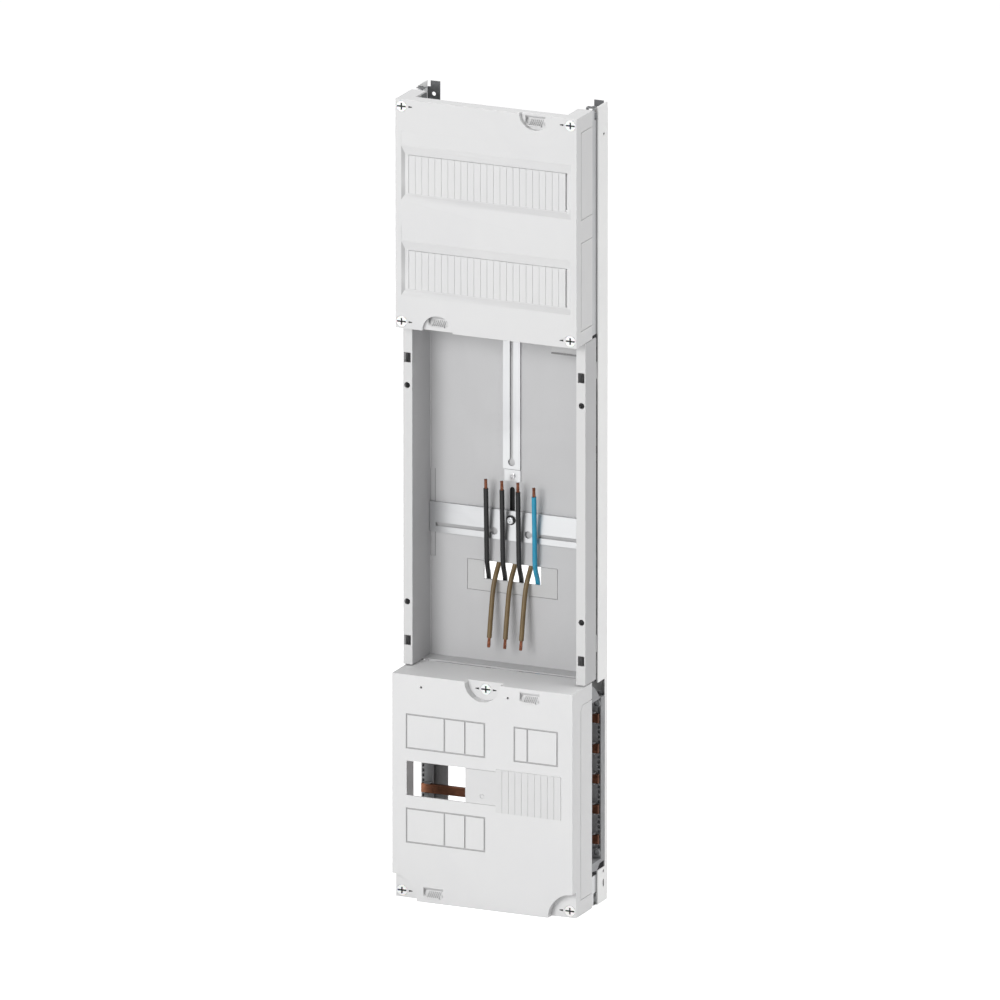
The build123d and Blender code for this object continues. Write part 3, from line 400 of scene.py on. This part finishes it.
def rising(i):
    """From a supply terminal up behind the board, through the window and to the meter."""
    x, meter_x = FIRST_SUPPLY + SUPPLY_PITCH * i, FIRST_METER + PITCH * i
    wave = 0.8 if i % 2 else -0.8
    return route([
        (x, 91.8, 272), (x, 91.8, 308), (x + wave, 92.3, 346), (x - 0.5, 91.8, 378),
        (x + 0.4, 92.1, 396), (x + 1.4, 90.4, 411), (meter_x + 1.0, 76.3, 430),
        (meter_x + 1.6, 74.0, 449.5), (meter_x + 2.8, 70.4, 488),
        (meter_x + 4.2, 65.6, 532.5 if i < 3 else 528.5)])


def hanging(i):
    """From an outgoing terminal down behind the board, and forward out of the window."""
    x = -PITCH + PITCH * i
    wave = 0.7 if i % 2 else -0.7
    return route([
        (x, 91.8, 780), (x, 91.8, 738), (x - wave, 92.3, 670), (x + wave, 92.0, 590),
        (x - wave, 92.1, 515), (x + 1.2, 92.0, 474), (x + 1.4, 92.1, 447.5), (x + 1.4, 91.4, 432),
        (x, 74.0, 407), (x - 0.2, 66.0, 366), (x, 60.6, 337.5 + 0.5 * i)])


def bare_strands(routes, name, node):
    """Seven twisted copper strands on the end of each lead."""
    form = bmesh.new()
    strand = 0.69 * MM
    for points in routes:
        along = (points[-1] - points[-2]).normalized()
        turn = along.to_track_quat("Z", "Y").to_matrix().to_4x4()
        for k in range(7):
            away = Vector((0, 0, 0)) if k == 0 else Matrix.Rotation(k * pi / 3, 3, "Z") @ Vector(
                (2 * strand, 0, 0))
            place = Matrix.Translation(points[-1]) @ turn @ Matrix.Translation(away)
            ring = bmesh.ops.create_circle(form, cap_ends=True, segments=10, radius=strand,
                                           matrix=place)
            base = [f for f in form.faces if all(v in ring["verts"] for v in f.verts)]
            steps = 8
            wound = bmesh.ops.spin(form, geom=base, cent=points[-1], axis=along,
                                   dvec=along * (BARE_END - (0.4 * MM if k % 2 else 0)) / steps,
                                   angle=radians(55), steps=steps, use_merge=False)
            rim = [v for g in wound["geom_last"] if isinstance(g, bmesh.types.BMFace) for v in g.verts]
            middle = sum((v.co for v in rim), Vector()) / len(rim)
            bmesh.ops.scale(form, vec=(0.82, 0.82, 0.82), verts=rim,
                            space=Matrix.Translation(-middle))
    bmesh.ops.recalc_face_normals(form, faces=form.faces)
    made = piece(form, name, "strand", "frame", 50)
    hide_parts(node)
    return made


def lead(points, name, node, finish):
    """A lead's insulation, a smooth curve along its route."""
    data = bpy.data.curves.new(name, "CURVE")
    data.dimensions = "3D"
    line = data.splines.new("NURBS")
    line.points.add(len(points) - 1)
    for knot, place in zip(line.points, points):
        knot.co = (*place, 1.0)
    line.order_u = 3
    line.use_endpoint_u = True
    line.resolution_u = 10
    data.bevel_depth = LEAD_RADIUS
    data.bevel_resolution = 7
    data.use_fill_caps = True
    data.materials.append(finishes[finish])
    made = bpy.data.objects.new(name, data)
    bpy.context.scene.collection.objects.link(made)
    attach(made, "frame")
    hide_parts(node)
    return made


rising_routes = [rising(i) for i in range(4)]
hanging_routes = [hanging(i) for i in range(3)]
black_strands = bare_strands(rising_routes[:3], "black_lead_strands", "black_lead_tips")
blue_strands = bare_strands(rising_routes[3:], "blue_lead_strands", "blue_lead_tip")
brown_strands = bare_strands(hanging_routes, "brown_lead_strands", "brown_lead_tips")
for i in range(3):
    lead(rising_routes[i], f"black_jacket_{i + 1}", f"black_lead_{i + 1}", "black")
    lead(hanging_routes[i], f"brown_jacket_{i + 1}", f"brown_lead_{i + 1}", "brown")
lead(rising_routes[3], "blue_jacket", "blue_lead", "blue")


# ---- mouldings with rounded corners ----------------------------------------------------
def rounds(edge, width):
    """Whether a corner is sharp, and clear enough of small features, to be rounded."""
    if len(edge.link_faces) != 2 or not edge.is_convex:
        return False
    if edge.calc_face_angle(0) < radians(50) or edge.calc_length() < 8 * width:
        return False
    return all(f.calc_area() / edge.calc_length() > 5 * width for f in edge.link_faces)


def rounded(node, width, finish, body, paint, segments=2):
    """A copy of a CAD moulding with its outer corners rounded.

    Paint takes a face's corners and direction, and gives its shares of painted shade, in recess colour
    and in black.
    """
    form = bmesh.new()
    form.from_mesh(nodes[node].data)
    bmesh.ops.remove_doubles(form, verts=form.verts, dist=2e-6)
    bmesh.ops.dissolve_limit(form, angle_limit=radians(0.4), verts=form.verts, edges=form.edges,
                             use_dissolve_boundaries=False)
    corners = [e for e in form.edges if rounds(e, width)]
    bmesh.ops.bevel(form, geom=corners, offset=width, offset_type="OFFSET", segments=segments,
                    profile=0.5, affect="EDGES", clamp_overlap=False, material=-1)
    layer = form.loops.layers.uv.new("paint")
    for face in form.faces:
        shares = paint([v.co for v in face.verts], face.normal)
        for corner in face.loops:
            corner[layer].uv = shares
    made = piece(form, node + "_moulding", finish, body)
    upright = made.modifiers.new("flat faces stay flat", "WEIGHTED_NORMAL")
    upright.keep_sharp = True
    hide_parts(node)
    return made


UPPER_FRONT, LOWER_FRONT = -41.95 * MM, -53.95 * MM
GROOVE_FLOOR = 1.65 * MM      # scored lines end in front of this depth behind a cover's front
SIDE_INSIDE = 0.1215          # inner faces of a cover's side walls
SLOT_DEPTH = (-42.5 * MM, -39.8 * MM)
MARK_DEPTH = (-42.1 * MM, -41 * MM)


def all_in(corners, x, y, z):
    """Whether every corner lies within these ranges."""
    return all(x[0] < c.x < x[1] and y[0] < c.y < y[1] and z[0] < c.z < z[1] for c in corners)


def recess_shade(front, low, high, grips, marks):
    """Painted shade of a cover: grooves, walls of pockets, ribs of the pull grips and screw marks."""
    def shares(corners, way):
        if not all_in(corners, (-SIDE_INSIDE, SIDE_INSIDE), (front - 3 * MM, 1), (low, high)):
            return 0.0, 0.0
        deepest = max(c.y for c in corners)
        if deepest < front + 0.5 * MM:
            return 0.0, 0.0
        for x, z in marks:
            for s in (-1, 1):
                if all_in(corners, (s * x - 3 * MM, s * x + 3 * MM), MARK_DEPTH,
                          (z - 1.6 * MM, z + 1.6 * MM)):
                    return 0.0, 1.0
        for x, z in grips:
            if all_in(corners, (x - 11 * MM, x + 11 * MM), (front - 3 * MM, 1),
                      (z - 2 * MM, z + 9 * MM)):
                return (0.9 if abs(way.x) > 0.6 else 0.15), 0.0
        if deepest < front + GROOVE_FLOOR:
            return 0.4, 0.0
        if abs(way.y) > 0.6:
            return 0.0, 0.0
        return (0.3 if way.x > 0.5 else 0.1), 0.0
    return shares


def screw_slot_shade(x, z):
    """Painted shade on the walls and floor of a quarter-turn screw's cross slot."""
    def inside(corners, way):
        reach = 6.6 * MM
        if abs(way.y) < 0.5 or min(c.y for c in corners) > -42 * MM:
            return float(all_in(corners, (x - reach, x + reach), SLOT_DEPTH,
                                (z - reach, z + reach))), 0.0
        return 0.0, 0.0
    return inside


# The covers get painted shade in their grooves, pockets, grip ribs and screw marks.
rounded("upper_cover", 0.25 * MM, "upper", "upper_cover",
        recess_shade(UPPER_FRONT, 0.7515, 1.0485, ((0.0655, 1.0349), (-0.0685, 0.7567)),
               ((104.4 * MM, 0.759), (104.4 * MM, 1.041))))
rounded("lower_cover", 0.25 * MM, "lower", "lower_cover",
        recess_shade(LOWER_FRONT, 0.0015, 0.2975, ((0.0655, 0.2815), (-0.068, 0.0081)),
               ((104.4 * MM, 0.009), (12.1 * MM, 0.288))))
# The screws get painted shade in their cross slots.
for name in node_finish["screw"]:
    box = [nodes[name].matrix_world @ Vector(c) for c in nodes[name].bound_box]
    middle = sum(box, Vector()) / 8
    rounded(name, 0.2 * MM, "screw", name, screw_slot_shade(middle.x, middle.z))

# ---- stage -----------------------------------------------------------------------------
form = bmesh.new()
bmesh.ops.create_grid(form, x_segments=1, y_segments=1, size=30)
floor_mesh = bpy.data.meshes.new("floor")
form.to_mesh(floor_mesh)
form.free()
floor = bpy.data.objects.new("floor", floor_mesh)
bpy.context.scene.collection.objects.link(floor)
floor_finish = Finish("studio_floor")
seen = floor_finish.node("LightPath", {}, out="Is Camera Ray")
mirrored = floor_finish.node("LightPath", {}, out="Is Glossy Ray")
floor.data.materials.append(floor_finish.surface(
    Base_Color=tone(225), Roughness=0.9, Emission_Color=(1, 1, 1, 1),
    Emission_Strength=seen * 0.75 + mirrored * 0.45))

world = bpy.data.worlds.new("studio")
bpy.context.scene.world = world
world.use_nodes = True
world.node_tree.nodes["Background"].inputs["Color"].default_value = (1, 1, 1, 1)
world.node_tree.nodes["Background"].inputs["Strength"].default_value = 0.25


def softbox(name, place, target, size, power):
    data = bpy.data.lights.new(name, "AREA")
    data.shape = "DISK"
    data.size = size
    data.energy = power
    lamp = bpy.data.objects.new(name, data)
    lamp.location = place
    lamp.rotation_mode = "QUATERNION"
    lamp.rotation_quaternion = (Vector(target) - Vector(place)).to_track_quat("-Z", "Y")
    bpy.context.scene.collection.objects.link(lamp)


softbox("key", (-0.7, -4.3, 2.1), (0, 0, 0.5), 2.6, 142)
softbox("side", (3.2, 0.3, 1.2), (0, 0.02, 0.6), 1.6, 33)
softbox("top", (0.3, 0.4, 3.6), (0, 0, 0.8), 1.6, 54)
